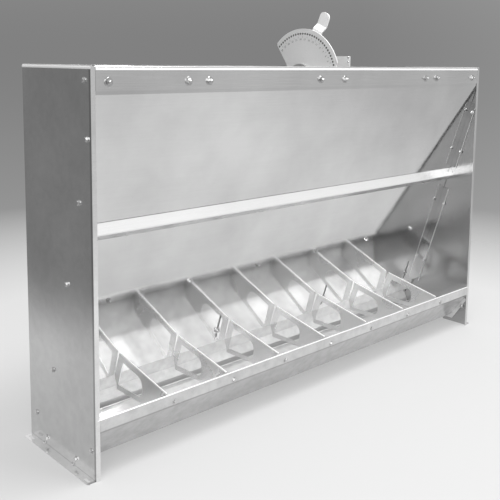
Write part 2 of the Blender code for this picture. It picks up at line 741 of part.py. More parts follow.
def lift_rod(name, side):
    """Lift rod: a foot on the gate, a round bar and a slotted yoke plate."""
    normal = slope_normal()
    along = Vector((0, -SHEET_SLOPE, 1)) / SHEET_SECANT
    x = side * YOKE_X
    foot_t = 0.004
    centre = point(x, gate_line(ROD_BOLT_Z), ROD_BOLT_Z) - normal * (SHEET_T / 2 + GAP + foot_t / 2)
    frame = Matrix((Vector((1, 0, 0)), along, Vector((1, 0, 0)).cross(along))).transposed().to_4x4()
    frame.translation = centre
    foot = [(-0.014, -0.016, 0.005), (0.014, -0.016, 0.005), (0.014, 0.034, 0.005), (-0.014, 0.034, 0.005)]
    item = plate([foot], foot_t, frame, 0.0)
    pin = arm_pin_spot()
    yoke_low = pin[1] - 0.030
    bar_low = centre + along * 0.020 - normal * 0.0045
    bar_high = point(x, pin[0] + 0.012, yoke_low + 0.006)
    join(item, rods([(bar_low, bar_high, 0.005)], sides=14))
    slot_low, slot_high = pin[0] - 0.0068, pin[0] + 0.0290
    margin, tall = 0.007, 0.0058
    middle = pin[1] + YOKE_RISE
    outline = yz(
        (slot_low - margin, middle + tall + margin, 0.004), (slot_low - margin, middle - tall - margin, 0.004),
        (pin[0] + 0.004, yoke_low, 0.003), (pin[0] + 0.020, yoke_low, 0.003),
        (slot_high + margin, middle - tall - margin, 0.004), (slot_high + margin, middle + tall + margin, 0.004))
    slot = yz(
        (slot_low, middle + tall, 0.0057), (slot_low, middle - tall, 0.0057),
        (slot_high, middle - tall, 0.0057), (slot_high, middle + tall, 0.0057))
    join(item, plate([outline, slot], 0.004, SIDE, x))
    spot = point(x, gate_line(ROD_BOLT_Z), ROD_BOLT_Z)
    cut(item, rods([(spot - normal * 0.02, spot + normal * 0.02, HOLE_R)], sides=12))
    return part(item, name, "shaft")


# ---------------------------------------------------------------- assembly

def build_hopper():
    end_panel("left_end_panel", -1)
    end_panel("right_end_panel", 1)
    back_panel()
    header_rail()
    front_sheet()
    front_rail()
    sheet_stiffener()
    trough_pan()
    for index, x in enumerate(divider_xs()):
        divider("divider_%d" % (index + 1), x)


def build_brackets():
    for side, name in ((-1, "left"), (1, "right")):
        corner_bracket("corner_bracket_" + name, side)
        cross_brace("cross_brace_" + name, side * BRACE_X)
        shaft_bearing("shaft_bearing_" + name, side * BRACE_X)
    gauge_bracket()
    gauge_sector()
    pivot_bearing()
    for index, spot in enumerate(SPACER_SPOTS):
        sector_spacer("sector_spacer_%d" % (index + 1), *spot)


def build_moving(pivot, slide):
    """Make the lever and gate groups and hang them on their joint empties."""
    turning = [rock_shaft(), adjusting_lever()]
    sliding = [feed_gate()]
    for side, name in ((-1, "left"), (1, "right")):
        turning.append(lift_arm("lift_arm_" + name, side))
        turning.append(yoke_pin("yoke_pin_" + name, side))
        sliding.append(lift_rod("lift_rod_" + name, side))
    normal = slope_normal()
    stack = SHEET_T + 0.0005 + SHEET_T
    mesh = bolt_mesh(stack, BOLT_R, 0.0055, 0.005, 0.004)
    for index, x in enumerate(GATE_BOLT_XS):
        spot = point(x, sheet_y(GATE_BOLT_Z), GATE_BOLT_Z)
        sliding.append(place_bolt("gate_bolt_%d" % (index + 1), mesh, spot, normal))
    for x, name in ((-YOKE_X, "left"), (YOKE_X, "right")):
        spot = point(x, gate_line(ROD_BOLT_Z), ROD_BOLT_Z) + normal * SHEET_T / 2
        sliding.append(rod_bolt("rod_bolt_" + name, spot))
    for group, empty in ((turning, pivot), (sliding, slide)):
        for item in group:
            item.parent = empty
            item.matrix_parent_inverse = empty.matrix_world.inverted()


def rod_bolt(name, spot):
    """Countersunk-flush bolt that clamps a lift rod's foot to the gate."""
    normal = slope_normal()
    back = SHEET_T + GAP + 0.004 + GAP
    item = rods([(spot - normal * (back + 0.0025), spot - normal * 0.0001, BOLT_R)], sides=12)
    join(item, rods([(spot - normal * (back + 0.005), spot - normal * back, 0.0055)], sides=6))
    return part(item, name, "fastener")


def build_fasteners():
    mesh = bolt_mesh(TAB_Y + BRACKET_T / 2, BOLT_R, 0.0055, HEAD_H, 0.005)
    for index, x in enumerate(header_bolt_xs()):
        place_bolt("header_bolt_%d" % (index + 1), mesh, point(x, 0, HEADER_BOLT_Z), (0, -1, 0))
    mesh = bolt_mesh(DIVIDER_FRONT + SHEET_T, BOLT_R, 0.0055, HEAD_H, 0.005)
    for index, x in enumerate(divider_xs()):
        spot = point(x + DIVIDER_BOLT_DX, 0, DIVIDER_BOLT_Z)
        place_bolt("divider_bolt_%d" % (index + 1), mesh, spot, (0, -1, 0))


def joint_empty(name, position):
    empty = bpy.data.objects.new(name, None)
    empty.location = position
    PARTS.objects.link(empty)
    return empty


clear_scene()
PARTS = collection("hopper_feeder")
CUTTERS = collection("cutters")
lever_pivot = joint_empty("lever_pivot", point(0, SHAFT_Y, SHAFT_Z))
gate_slide = joint_empty("gate_slide", point(0, gate_line(GATE_BOLT_Z), GATE_BOLT_Z))
bpy.context.view_layer.update()
build_hopper()
build_brackets()
build_fasteners()
build_moving(lever_pivot, gate_slide)
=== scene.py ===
"""Looks of the single-sided stainless hopper feeder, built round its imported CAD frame."""
import json
import math

import bmesh
import bpy
from mathutils import Matrix, Vector


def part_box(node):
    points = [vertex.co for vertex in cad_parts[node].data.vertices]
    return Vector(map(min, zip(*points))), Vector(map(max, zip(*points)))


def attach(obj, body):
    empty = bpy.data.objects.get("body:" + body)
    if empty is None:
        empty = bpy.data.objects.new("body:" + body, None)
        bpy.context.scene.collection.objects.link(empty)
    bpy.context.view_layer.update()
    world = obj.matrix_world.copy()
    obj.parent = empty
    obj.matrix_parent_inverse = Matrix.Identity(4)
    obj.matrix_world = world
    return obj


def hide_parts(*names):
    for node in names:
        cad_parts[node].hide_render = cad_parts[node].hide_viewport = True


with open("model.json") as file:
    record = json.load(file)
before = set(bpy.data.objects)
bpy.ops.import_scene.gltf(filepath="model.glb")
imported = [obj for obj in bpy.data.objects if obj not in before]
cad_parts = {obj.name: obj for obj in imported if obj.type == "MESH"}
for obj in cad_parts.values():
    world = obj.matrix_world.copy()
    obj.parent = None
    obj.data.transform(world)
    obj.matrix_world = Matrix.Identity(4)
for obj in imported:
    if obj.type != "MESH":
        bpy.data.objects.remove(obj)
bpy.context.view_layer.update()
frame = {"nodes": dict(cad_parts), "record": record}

SCENE = bpy.context.scene

# Everything is in metres. A depth is measured back from the front face of the end panels.
FRONT_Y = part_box("header_rail")[0][1]
FOOT_REACH = 0.022
PANEL_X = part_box("right_end_panel")[1][0] - FOOT_REACH  # outer face of the right end panel
PANEL_TOP = 0.9144
BACK_DEPTH = 0.3048
SHAFT_DEPTH, SHAFT_HEIGHT = 0.155, 0.878


def at(x, depth, z):
    """A point of the frame, from its depth."""
    return Vector((x, depth + FRONT_Y, z))


def depths(*pairs):
    """(y, z) pairs from (depth, z) pairs."""
    return [(at(0, depth, z).y, z) for depth, z in pairs]


def linked(name, data):
    """A new object in the scene."""
    item = bpy.data.objects.new(name, data)
    SCENE.collection.objects.link(item)
    return item


# ------------------------------------------------------------------ node trees

class Nodes:
    """Adds nodes to one tree. An input takes either a socket to link or a value to hold."""

    def __init__(self, tree):
        self.tree = tree

    def feed(self, socket, value):
        if isinstance(value, bpy.types.NodeSocket):
            self.tree.links.new(value, socket)
        else:
            socket.default_value = value

    def add(self, kind, inputs, **settings):
        node = self.tree.nodes.new(kind)
        for name, value in settings.items():
            setattr(node, name, value)
        for name, value in inputs.items():
            self.feed(node.inputs[name], value)
        return node

    def place(self, kind):
        return self.add("ShaderNodeTexCoord", {}).outputs[kind]

    def axis(self, vector, letter):
        return self.add("ShaderNodeSeparateXYZ", {0: vector}).outputs[letter]

    def math(self, operation, *values):
        return self.add("ShaderNodeMath", dict(enumerate(values)), operation=operation).outputs[0]

    def spread(self, value, low, high, to_low=0.0, to_high=1.0):
        """Maps low to high onto to_low to to_high, and holds the ends beyond them."""
        inputs = {"Value": value, "From Min": low, "From Max": high, "To Min": to_low, "To Max": to_high}
        return self.add("ShaderNodeMapRange", inputs).outputs[0]

    def noise(self, vector, scale, detail, **more):
        inputs = {"Vector": vector, "Scale": scale, "Detail": detail, **more}
        return self.add("ShaderNodeTexNoise", inputs).outputs["Fac"]

    def ramp(self, factor, stops):
        """Greys at (position, grey) stops: a smooth curve through many, straight lines through few."""
        node = self.add("ShaderNodeValToRGB", {"Fac": factor})
        node.color_ramp.interpolation = "B_SPLINE" if len(stops) > 5 else "LINEAR"
        band = node.color_ramp.elements
        while len(band) < len(stops):
            band.new(0.5)
        for element, (position, grey) in zip(band, stops):
            element.position = position
            element.color = (grey, grey, grey, 1.0)
        return node.outputs["Color"]

    def mix(self, factor, a, b, blend="MIX"):
        node = self.add("ShaderNodeMix", {}, data_type="RGBA", blend_type=blend)
        for index, value in ((0, factor), (6, a), (7, b)):
            self.feed(node.inputs[index], value)
        return node.outputs[2]

    def scale(self, color, factor):
        inputs = {0: color, "Scale": factor}
        return self.add("ShaderNodeVectorMath", inputs, operation="SCALE").outputs[0]


# ------------------------------------------------------------------ camera, light and floor

EYE = (-1.5869, -1.3636, 0.9273)  # x, depth and height
FORWARD = Vector((0.67816, 0.72405, -0.12588))
UP = Vector((0.07739, 0.09997, 0.99198))
LENS = 54.27
SHIFT_Y = -0.1865

# Grey of the surroundings, from straight down at 0 to straight up at 1
FRONT_STOPS = ((0.0, 0.70), (0.24, 0.66), (0.36, 0.62), (0.50, 0.60), (0.58, 0.66), (0.70, 0.90),
               (1.0, 1.0))
BACK_STOPS = ((0.0, 0.76), (0.24, 0.72), (0.35, 0.36), (0.45, 0.24), (0.53, 0.19), (0.62, 0.38),
              (0.76, 0.95), (1.0, 1.10))
FLAG_STOPS = ((0.0, 0.28), (0.24, 0.27), (0.36, 0.26), (0.47, 0.26), (0.53, 0.28), (0.62, 0.50),
              (0.76, 0.95), (1.0, 1.10))
FLAG_EDGE = (-0.15, -0.45)  # leftward part of the direction over which the flag's ramp takes over
FRONT_BLEND = (-0.8, 0.5)  # slope and offset of the blend from behind to in front

FLOOR_RADIUS = 5.0
FLOOR_GREY, FLOOR_GLOW = 0.26, 0.38
FLOOR_FADE = (1.2, 2.9)
FLOOR_LEFT_FADE = (-1.12, -1.40)


def camera():
    """The one camera, looking from the front left and slightly from above."""
    data = bpy.data.cameras.new("camera")
    item = linked("camera", data)
    data.sensor_width = 36.0
    data.lens = LENS
    data.shift_y = SHIFT_Y
    data.clip_end = 60.0
    right = FORWARD.cross(UP).normalized()
    up = right.cross(FORWARD).normalized()
    turn = Matrix((right, up, -FORWARD.normalized())).transposed().to_4x4()
    item.matrix_world = Matrix.Translation(at(*EYE)) @ turn
    SCENE.camera = item


def studio_light():
    """Surroundings in bands of height: pale in front and overhead, dark behind and to the left."""
    world = bpy.data.worlds.new("studio")
    SCENE.world = world
    world.use_nodes = True
    nodes = Nodes(world.node_tree)
    direction = nodes.place("Generated")
    height = nodes.math("MULTIPLY_ADD", nodes.axis(direction, "Z"), 0.5, 0.5)
    leftward = nodes.spread(nodes.axis(direction, "X"), *FLAG_EDGE)
    behind = nodes.mix(leftward, nodes.ramp(height, BACK_STOPS), nodes.ramp(height, FLAG_STOPS))
    frontward = nodes.math("MULTIPLY_ADD", nodes.axis(direction, "Y"), *FRONT_BLEND)
    frontward = nodes.add("ShaderNodeClamp", {0: frontward}).outputs[0]
    color = nodes.mix(frontward, behind, nodes.ramp(height, FRONT_STOPS))
    nodes.feed(world.node_tree.nodes["Background"].inputs["Color"], color)


def softbox(name, place, target, size, power):
    """Rectangular area light aimed at a point."""
    data = bpy.data.lights.new(name, "AREA")
    data.shape = "RECTANGLE"
    data.size, data.size_y = size
    data.energy = power
    item = linked(name, data)
    item.location = place
    item.rotation_euler = (Vector(target) - Vector(place)).to_track_quat("-Z", "Y").to_euler()


def floor():
    """Pale, faintly glowing floor disc that fades out towards its rim and to the left."""
    shape = bmesh.new()
    bmesh.ops.create_circle(shape, cap_ends=True, segments=96, radius=FLOOR_RADIUS)
    mesh = bpy.data.meshes.new("floor")
    shape.to_mesh(mesh)
    shape.free()
    item = linked("floor", mesh)
    paint = bpy.data.materials.new("floor")
    paint.use_nodes = True
    nodes = Nodes(paint.node_tree)
    shader = paint.node_tree.nodes["Principled BSDF"]
    for name, value in (
        ("Base Color", (FLOOR_GREY, FLOOR_GREY, FLOOR_GREY, 1)), ("Emission Color", (1, 1, 1, 1)),
        ("Emission Strength", FLOOR_GLOW), ("Roughness", 0.7), ("Specular IOR Level", 0.2),
    ):
        nodes.feed(shader.inputs[name], value)
    spot = nodes.place("Object")
    reach = nodes.add("ShaderNodeVectorMath", {0: spot}, operation="LENGTH").outputs["Value"]
    rim = nodes.spread(reach, *FLOOR_FADE)
    left = nodes.spread(nodes.axis(spot, "X"), *FLOOR_LEFT_FADE)
    clear = nodes.add("ShaderNodeBsdfTransparent", {}).outputs[0]
    fade = nodes.math("MAXIMUM", rim, left)
    mixed = nodes.add("ShaderNodeMixShader", {0: fade, 1: shader.outputs[0], 2: clear})
    nodes.feed(paint.node_tree.nodes["Material Output"].inputs["Surface"], mixed.outputs[0])
    mesh.materials.append(paint)


# ------------------------------------------------------------------ finishes

FRONT_EDGE = 0.012  # depth over which a finish's front ramp of painted highlight and shade runs
REFLECTION_LEVEL = (0.365, 0.325)  # heights between which the sheet's painted reflection sets in
UNDERSIDE_SHADE = (-0.60, -0.15)  # upward parts of the normal between which the painted underside shade fades out


def stainless(name, grey, roughness, grain, cloud, metallic=1.0, front=None, ends=None, mottle=None,
              under=None, painted_reflection=None):
    """Cold-rolled stainless: faint rolling lines along X (grain) and soft patches (cloud).

    front is a ramp of brightness over the first millimetres behind the front face, which paints
    highlight and shade along front edges and bends. ends holds two distances from the middle and the
    brightness beyond the second. mottle darkens small stains, under darkens faces that look down as
    painted shade, and the last argument brightens the sheet below a set height as a painted reflection.
    """
    item = bpy.data.materials.new(name)
    item.use_nodes = True
    nodes = Nodes(item.node_tree)
    place = nodes.place("Object")
    lines = nodes.add("ShaderNodeMapping", {"Vector": place, "Scale": (1.5, 60.0, 60.0)}).outputs[0]
    rolled = nodes.noise(lines, 6.0, 5.0)
    patches = nodes.noise(place, 4.5, 6.0)
    tone = nodes.ramp(patches, ((0.3, grey - cloud), (0.7, grey + cloud)))
    streak = nodes.ramp(rolled, ((0.3, 1.0 - 0.3 * grain), (0.7, 1.0)))
    shade = nodes.mix(1.0, tone, streak, "MULTIPLY")
    # painted highlight and shade behind the front face
    if front:
        behind_front = nodes.spread(nodes.axis(place, "Y"), FRONT_Y, FRONT_EDGE + FRONT_Y)
        shade = nodes.mix(1.0, shade, nodes.ramp(behind_front, front), "MULTIPLY")
    if ends:
        near, far, brightness = ends
        across = nodes.math("ABSOLUTE", nodes.axis(place, "X"))
        shade = nodes.scale(shade, nodes.spread(across, near, far, 1.0, brightness))
    if mottle:
        stain = nodes.noise(place, 38.0, 5.0, Roughness=0.6)
        shade = nodes.scale(shade, nodes.spread(stain, 0.35, 0.62, 1.0 - mottle, 1.0))
    # painted shade: faces that look down are darker
    if under:
        upward = nodes.axis(nodes.add("ShaderNodeNewGeometry", {}).outputs["Normal"], "Z")
        shade = nodes.scale(shade, nodes.spread(upward, *UNDERSIDE_SHADE, under, 1.0))
    # painted reflection: the sheet is brighter below a set height
    if painted_reflection:
        height = nodes.axis(place, "Z")
        shade = nodes.scale(shade, nodes.spread(height, *REFLECTION_LEVEL, 1.0, painted_reflection))
    bump = nodes.add("ShaderNodeBump", {"Height": rolled, "Strength": grain, "Distance": 0.0004})
    wave = nodes.add("ShaderNodeBump", {"Height": patches, "Strength": 0.15, "Distance": 0.004,
                                        "Normal": bump.outputs[0]})
    shader = item.node_tree.nodes["Principled BSDF"]
    for socket, value in (
        ("Base Color", shade), ("Metallic", metallic), ("Normal", wave.outputs[0]),
        ("Roughness", nodes.spread(patches, 0.0, 1.0, roughness * 0.8, roughness * 1.3)),
    ):
        nodes.feed(shader.inputs[socket], value)
    return item


# painted highlight along the end panels' front edge, then a painted dark band behind it
BEND_LIGHT_AND_SHADE = ((0.0, 1.35), (0.06, 1.35), (0.14, 0.55), (0.45, 0.62), (0.80, 1.0))
# painted highlight along the far panel's front return
RETURN_HIGHLIGHT = ((0.0, 1.5), (0.06, 1.5), (0.14, 1.0))
# painted shade on the trough's forward-facing outer band
LIP_SHADE = ((0.0, 0.70), (0.26, 0.70), (0.40, 1.0))
FOOT = (0.7622, 0.7632, 1.5)
# painted shade on the sloping sheet's end flanges
FLANGE_SHADE = (0.7560, 0.7572, 0.58)

PANEL = stainless("panel_sheet", 0.63, 0.18, 0.15, 0.06, front=BEND_LIGHT_AND_SHADE, ends=FOOT, mottle=0.06)
# the far end panel is a darker copy of the near panel's steel: painted shade
SHADED_FAR_PANEL = stainless("far_panel_shaded_sheet", 0.47, 0.17, 0.2, 0.04, front=RETURN_HIGHLIGHT, ends=FOOT)
HEADER = stainless("header_sheet", 0.69, 0.22, 0.2, 0.06)
# the sloping sheet takes painted shade on its end flanges and a painted reflection low down
SHEET = stainless("rolled_sheet", 0.66, 0.08, 0.08, 0.07, ends=FLANGE_SHADE, painted_reflection=1.32)
# the trough takes painted shade on its forward-facing band and on faces that look down; its mottle is
# stains
TROUGH = stainless("trough_sheet", 0.90, 0.12, 0.12, 0.06, 0.5, front=LIP_SHADE, under=0.68, mottle=0.16)
RAIL = stainless("rail_sheet", 0.88, 0.22, 0.12, 0.03, 0.8)
# light, part-diffuse steel for hems, beads and edges, brighter than the sheets they finish: painted
# highlight lines
HEM_HIGHLIGHT = stainless("hem_painted_highlight", 0.96, 0.30, 0.05, 0.02, 0.4)
DIVIDER = stainless("divider_sheet", 0.70, 0.26, 0.15, 0.04, 0.75)
# near-white, part-diffuse copy of the steel for the lever: its bright reflection painted in
LIT_LEVER = stainless("lever_painted_highlight", 0.95, 0.38, 0.15, 0.02, 0.35)
GAUGE = stainless("gauge_sheet", 0.86, 0.40, 0.15, 0.03, 0.6)
PLATE = stainless("bar_and_plate", 0.70, 0.32, 0.3, 0.03)
FASTENER = stainless("fastener", 0.64, 0.22, 0.1, 0.02)
# darker copy of the fastener steel for nuts: painted shade
SHADED_NUT = stainless("nut_steel_painted_shade", 0.52, 0.14, 0.05, 0.02)
# dark grey for the strip at the foot of the trough's rear slope: painted shade of the cavity under the
# feed gate
CAVITY_SHADE = stainless("painted_cavity_shade", 0.30, 0.35, 0.1, 0.03, 0.6)
# near-black for the painted shade in the gate slots and the gauge holes, and for the dial's print
SHADE_AND_PRINT = stainless("painted_shade_and_print", 0.04, 0.55, 0.1, 0.02, 0.0)

SLOT_FINISH = {"sheet_steel": SHEET, "plate_steel": PLATE, "fastener_steel": FASTENER}
OWN_FINISH = {
    "left_end_panel": PANEL, "right_end_panel": SHADED_FAR_PANEL, "back_panel": HEADER, "header_rail": HEADER,
    "trough_pan": TROUGH, "feed_gate": TROUGH, "gauge_sector": GAUGE, "gauge_bracket": GAUGE,
    "front_rail": RAIL, "adjusting_lever": LIT_LEVER,
    **{"divider_%d" % index: DIVIDER for index in range(1, 8)},
}
SOFT_EDGE = 0.0004
OWN_EDGE = {"left_end_panel": 0.0008, "right_end_panel": 0.0008, "header_rail": 0.0006}


def paint_frame():
    """Every CAD node keeps its shape, takes a finish and gets softened edges."""
    for part in frame["record"]["subparts"]:
        name = part["node"]
        node = frame["nodes"][name]
        node.data.materials.clear()
        node.data.materials.append(OWN_FINISH.get(name, SLOT_FINISH[part["material_slot"]]))
        edge = node.modifiers.new("edge", "BEVEL")
        edge.width = OWN_EDGE.get(name, SOFT_EDGE)
        edge.segments = 2
        edge.limit_method = "ANGLE"
        edge.angle_limit = math.radians(50)
        edge.harden_normals = False


# ------------------------------------------------------------------ making pieces

def turned(shape, sides, profile, base=0.0, flip=1.0):
    """Adds one closed body whose rings follow the profile's (radius, height) pairs along Z."""
    rings = []
    for radius, height in profile:
        z = base + height * flip
        angles = (2 * math.pi * step / sides for step in range(sides))
        rings.append([shape.verts.new((radius * math.cos(a), radius * math.sin(a), z)) for a in angles])
    for low, high in zip(rings, rings[1:]):
        for step in range(sides):
            after = (step + 1) % sides
            shape.faces.new((low[step], low[after], high[after], high[step]))
    shape.faces.new(rings[0])
    shape.faces.new(rings[-1])


def closed_mesh(shape, name, finish, smooth=True, sharp=None):
    """A mesh from finished bodies, with edges over the sharp angle (degrees) kept crisp."""
    bmesh.ops.recalc_face_normals(shape, faces=shape.faces)
    mesh = bpy.data.meshes.new(name)
    shape.to_mesh(mesh)
    shape.free()
    if smooth:
        mesh.shade_smooth()
    if sharp:
        mesh.set_sharp_from_angle(angle=math.radians(sharp))
    mesh.materials.append(finish)
    return mesh


def fitted(name, mesh, body="frame", matrix=None):
    """A piece in its place, riding its body."""
    item = linked(name, mesh)
    if matrix is not None:
        item.matrix_world = matrix
    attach(item, body)
    return item


def facing(spot, normal):
    """A matrix that stands a piece's Z axis along the normal."""
    return Matrix.Translation(spot) @ Vector(normal).to_track_quat("Z", "Y").to_matrix().to_4x4()


def bar(name, start, end, finish):
    """Sheet steel bar between two loops of points."""
    shape = bmesh.new()
    first = [shape.verts.new(point) for point in start]
    last = [shape.verts.new(point) for point in end]
    for step in range(len(first)):
        after = (step + 1) % len(first)
        shape.faces.new((first[step], first[after], last[after], last[step]))
    shape.faces.new(first)
    shape.faces.new(last)
    fitted(name, closed_mesh(shape, name, finish, sharp=50))


def strip(name, outline, low_x, high_x, finish):
    """Bar along X with the given (y, z) outline."""
    bar(name, [(low_x, y, z) for y, z in outline], [(high_x, y, z) for y, z in outline], finish)


def middle_x(node):
    """Middle of a CAD node along X."""
    low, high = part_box(node)
    return (low[0] + high[0]) / 2


SLOPE = 0.31  # depth that the sloping sheet gains per metre down
SHEET_TOP = 0.861  # height at which its front face would meet the front of the end panels
SHEET_OUT = Vector((0, -1, -SLOPE)).normalized()


def on_sheet(x, z):
    """A point on the sloping sheet's front face."""
    return at(x, SLOPE * (SHEET_TOP - z), z)


# ------------------------------------------------------------------ bolts, nuts, rivets and screws

HEX = ((0.0051, 0.0), (0.0054, 0.0003), (0.0054, 0.0030), (0.0047, 0.0037))
HEX_NUT = ((0.0048, 0.0), (0.0055, 0.0005), (0.0055, 0.0042), (0.0048, 0.0047))
STUD_NUT = ((0.0062, 0.0), (0.0070, 0.0005), (0.0070, 0.0048), (0.0062, 0.0054))
WASHER = ((0.0064, 0.0), (0.0067, 0.0002), (0.0067, 0.0010), (0.0064, 0.0012))
WIDE_WASHER = ((0.0098, 0.0), (0.0101, 0.0002), (0.0101, 0.0013), (0.0098, 0.0016))
DOME = ((0.0046, 0.0), (0.0046, 0.0006), (0.0041, 0.0015), (0.0030, 0.0022), (0.0014, 0.0025))
PAN = ((0.0034, 0.0), (0.0034, 0.0008), (0.0029, 0.0017), (0.0017, 0.0021), (0.0014, 0.0012))
SHANK = 0.0029
SEAT_GAP = 0.0001


def lifted(profile, by):
    """The profile raised onto its washer."""
    return tuple((radius, height + by) for radius, height in profile)


def thread(start, length, pitch=0.0008):
    """Ridged rod end with a chamfered tip."""
    rings = [(SHANK, start)]
    for turn in range(int(length / pitch)):
        rings.append((SHANK, start + (turn + 0.3) * pitch))
        rings.append((SHANK * 0.88, start + (turn + 0.8) * pitch))
    rings.append((SHANK * 0.8, start + length))
    return tuple(rings)


# Each kind is a stack of (sides, profile) bodies
KINDS = {
    "hex": ((24, WASHER), (6, lifted(HEX, 0.0012))),
    "nut": ((24, WASHER), (6, lifted(HEX_NUT, 0.0012)), (14, thread(0.0058, 0.0026))),
    "stud": ((24, WIDE_WASHER), (6, lifted(STUD_NUT, 0.0012)), (14, thread(0.0064, 0.0050))),
    "gate_nut": ((28, WIDE_WASHER), (6, lifted(HEX_NUT, 0.0016)), (14, thread(0.0062, 0.0052))),
    "dome": ((20, DOME),),
    "screw": ((20, PAN),),
}
SHARED_MESHES = {}


def hardware_mesh(front, back, grip):
    """Head on the near side, shank through the grip, and the back kind on the far side."""
    key = (front, back, round(grip, 5))
    if key not in SHARED_MESHES:
        shape = bmesh.new()
        for sides, profile in KINDS[front]:
            turned(shape, sides, profile, SEAT_GAP)
        if grip:
            turned(shape, 14, ((SHANK, 0.0), (SHANK, grip)), flip=-1.0)
        for sides, profile in KINDS.get(back, ()):
            turned(shape, sides, profile, -grip - SEAT_GAP, -1.0)
        # nuts take the darker steel, painting their shade
        finish = SHADED_NUT if front in ("gate_nut", "nut", "stud") else FASTENER
        SHARED_MESHES[key] = closed_mesh(shape, "_".join((front, str(back))), finish, sharp=32)
    return SHARED_MESHES[key]


def hardware(name, spot, normal, front, back=None, grip=0.0, body="frame", turn=0.4, stands_for=()):
    """One fastener standing on a surface, riding the body that it holds."""
    aim = facing(spot, Vector(normal).normalized())
    matrix = aim @ Matrix.Rotation(turn, 4, "Z")
    item = fitted(name, hardware_mesh(front, back, grip), body, matrix)
    if stands_for:
        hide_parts(*stands_for)


HEADER_BOLT_Z, LIP_BOLT_Z, GATE_BOLT_Z = 0.880, 0.121, 0.160
FRONTWARD, BACKWARD, LEFTWARD = (0, -1, 0), (0, 1, 0), (-1, 0, 0)


def fit_frame_bolts():
    """Bolts that the CAD frame holds as plain hexagons, with washers, chamfers and threads."""
    for index in range(1, 9):
        node = "header_bolt_%d" % index
        spot = at(middle_x(node), 0, HEADER_BOLT_Z)
        hardware("header_nut_%d" % index, spot, FRONTWARD, "stud", "hex", grip=0.0072,
                 turn=0.7 * index, stands_for=(node,))
    for index in range(1, 8):
        node = "divider_bolt_%d" % index
        spot = at(middle_x(node), 0, LIP_BOLT_Z)
        hardware("divider_screw_%d" % index, spot, FRONTWARD, "hex", "nut", grip=0.0069,
                 turn=0.5 * index, stands_for=(node,))
    for index in range(1, 5):
        node = "gate_bolt_%d" % index
        spot = on_sheet(middle_x(node), GATE_BOLT_Z)
        hardware("gate_clamp_%d" % index, spot, SHEET_OUT, "gate_nut", "hex", grip=0.0037,
                 body="gate", turn=0.9 * index, stands_for=(node,))


# Depth, height and grip of each bolt in an end panel
PANEL_SPOTS = (
    (0.018, 0.760, 0.0046), (0.055, 0.6195, 0.0046), (0.113, 0.4255, 0.0046), (0.186, 0.202, 0.0046),
    (0.026, 0.884, 0.0058), (0.272, 0.066, 0.0046), (0.222, 0.020, 0.0046), (0.087, 0.020, 0.0046),
    (0.0205, 0.066, 0.0046),
)
RIVET_HEIGHTS = (0.205, 0.370, 0.535, 0.700, 0.865)
RIVET_INSET = 0.0062


def fit_panel_bolts():
    """Bolts through the end panels into the flanges inside them, and rivets up the back."""
    for side, word in ((-1, "left"), (1, "right")):
        for index, (depth, z, grip) in enumerate(PANEL_SPOTS):
            spot = at(side * PANEL_X, depth, z)
            hardware("%s_panel_bolt_%d" % (word, index + 1), spot, (side, 0, 0), "hex", "nut", grip=grip,
                     turn=0.6 * index)
        for index, z in enumerate(RIVET_HEIGHTS):
            spot = at(side * (PANEL_X - RIVET_INSET), BACK_DEPTH, z)
            hardware("%s_back_rivet_%d" % (word, index + 1), spot, BACKWARD, "dome")


def fit_sheet_bolts():
    """Six bolts that hold the flat bar behind the sloping sheet."""
    pitch, height = 0.2495, 0.3465
    for index in range(6):
        spot = on_sheet((index - 2.5) * pitch, height)
        hardware("sheet_bolt_%d" % (index + 1), spot, SHEET_OUT, "nut", "hex", grip=0.0052,
                 turn=0.8 * index)


def fit_gauge_screws():
    """Three screws in the pivot bearing's flange."""
    face_x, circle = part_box("pivot_bearing")[0][0], 0.034
    for index, degrees in enumerate((18, 90, -90)):
        a = math.radians(degrees)
        spot = at(face_x, SHAFT_DEPTH - circle * math.sin(a), SHAFT_HEIGHT + circle * math.cos(a))
        hardware("bearing_screw_%d" % (index + 1), spot, LEFTWARD, "screw")


def fit_cheek_screws():
    """Two small screws near the front edge of the cheek beside the gauge."""
    face_x, depth = 0.0680, 0.0055
    for index, z in enumerate((0.9277, 0.9405)):
        hardware("cheek_screw_%d" % (index + 1), at(face_x, depth, z), LEFTWARD, "screw")


# ------------------------------------------------------------------ welds, hems and folded edges

def weld_bead(name, spot):
    """Short rippled stitch weld lying along X."""
    length, steps = 0.013, 15
    profile = []
    for step in range(steps + 1):
        share = step / steps
        swell = math.sin(math.pi * (0.08 + 0.84 * share))
        profile.append((0.0014 * swell + 0.00018 * math.cos(step * 2.4), (share - 0.5) * length))
    shape = bmesh.new()
    turned(shape, 10, profile)
    matrix = Matrix.Translation(spot) @ Matrix.Rotation(math.pi / 2, 4, "Y")
    fitted(name, closed_mesh(shape, name, PLATE), matrix=matrix)


def fit_welds():
    """Nine stitch welds along the rail's lower edge."""
    pitch, height = 0.1524, 0.5155
    for index in range(1, 10):
        x = pitch * index - 5 * pitch
        weld_bead("rail_weld_low_%d" % index, on_sheet(x, height) + SHEET_OUT * 0.0009)


# (outward, upward) outline of the bend along the top of an end panel
RIM = ((0.0006, -0.0072), (0.0010, -0.0050), (0.0002, -0.0010), (-0.0014, 0.0004), (-0.0040, 0.0004),
       (-0.0040, -0.0016), (-0.0010, -0.0040))
RIM_DEPTHS = (0.0008, 0.3022)
FLANGE_X, FLANGE_EDGE = 0.7580, 0.0009
# (depth, z) of the lower and upper end of each flange's front edge
FLANGE_FRONTS = (((0.2085, 0.1172), (0.0957, 0.4818)), ((0.0722, 0.5590), (0.0040, 0.7835)))


